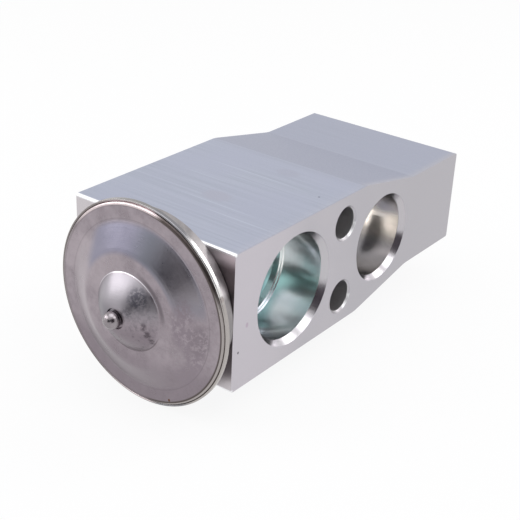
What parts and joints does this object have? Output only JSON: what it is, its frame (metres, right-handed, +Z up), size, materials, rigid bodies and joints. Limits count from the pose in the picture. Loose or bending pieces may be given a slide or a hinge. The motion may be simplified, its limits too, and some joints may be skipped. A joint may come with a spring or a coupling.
{
  "type": "expansion valve",
  "caption": "Block-type thermostatic expansion valve: aluminium block with suction and liquid ports, bolt holes, a stainless power head and an inner rod, ball, spring and adjuster.",
  "frame": {"origin": "midway between the two bolt holes, on the valve's axis", "axes": "+X along the valve axis from the power head to the adjusting screw, +Y across the block from the evaporator side to the pipe side, +Z up"},
  "size_m": [0.0967, 0.0429, 0.0418],
  "materials": {
    "block_aluminium": "satin sawn and milled",
    "pressed_stainless": "pressed, slightly mottled",
    "turned_stainless": "turned and welded",
    "polished_steel": "polished",
    "inner_stainless": "smooth",
    "rod_aluminium": "turned, with a pale green protective coat",
    "spring_steel": "drawn wire",
    "screw_steel": "turned and plated",
    "seal_rubber": "smooth"
  },
  "bodies": {
    "valve_body": {"valve_block": "block_aluminium", "head_cap": "pressed_stainless", "charge_ball": "polished_steel", "diaphragm": "inner_stainless", "head_base": "turned_stainless", "head_seal": "seal_rubber", "seal_retainer": "inner_stainless", "rod_seal": "seal_rubber", "superheat_spring": "spring_steel"},
    "control_rod": {"stop_plate": "rod_aluminium", "sensing_rod": "rod_aluminium", "push_pin": "inner_stainless"},
    "valve_set": {"valve_ball": "polished_steel", "ball_carrier": "inner_stainless", "damping_spring": "inner_stainless"},
    "screw_travel": {"screw_seal": "seal_rubber"},
    "adjuster": {"adjusting_screw": "screw_steel"}
  },
  "joints": [
    {"name": "rod_slide", "type": "slide", "parent": "valve_body", "child": "control_rod", "axis": [1, 0, 0], "range_m": [0, 0.0008], "stiffness_N_per_m": 2000, "springref_m": -0.001},
    {"name": "ball_slide", "type": "slide", "parent": "valve_body", "child": "valve_set", "axis": [1, 0, 0], "range_m": [0, 0.0008], "deforming": ["superheat_spring"]},
    {"name": "screw_advance", "type": "slide", "parent": "valve_body", "child": "screw_travel", "axis": [-1, 0, 0], "range_m": [-0.00076, 0.00151], "deforming": ["superheat_spring"]},
    {"name": "screw_turn", "type": "hinge", "parent": "screw_travel", "child": "adjuster", "pos_m": [0.04, 0, 0], "axis": [-1, 0, 0], "range_deg": [-270, 540]}
  ],
  "couplings": [
    {"joint": "ball_slide", "follows": "rod_slide", "ratio": 1},
    {"joint": "screw_advance", "follows": "screw_turn", "m_per_rad": 0.00015915}
  ]
}
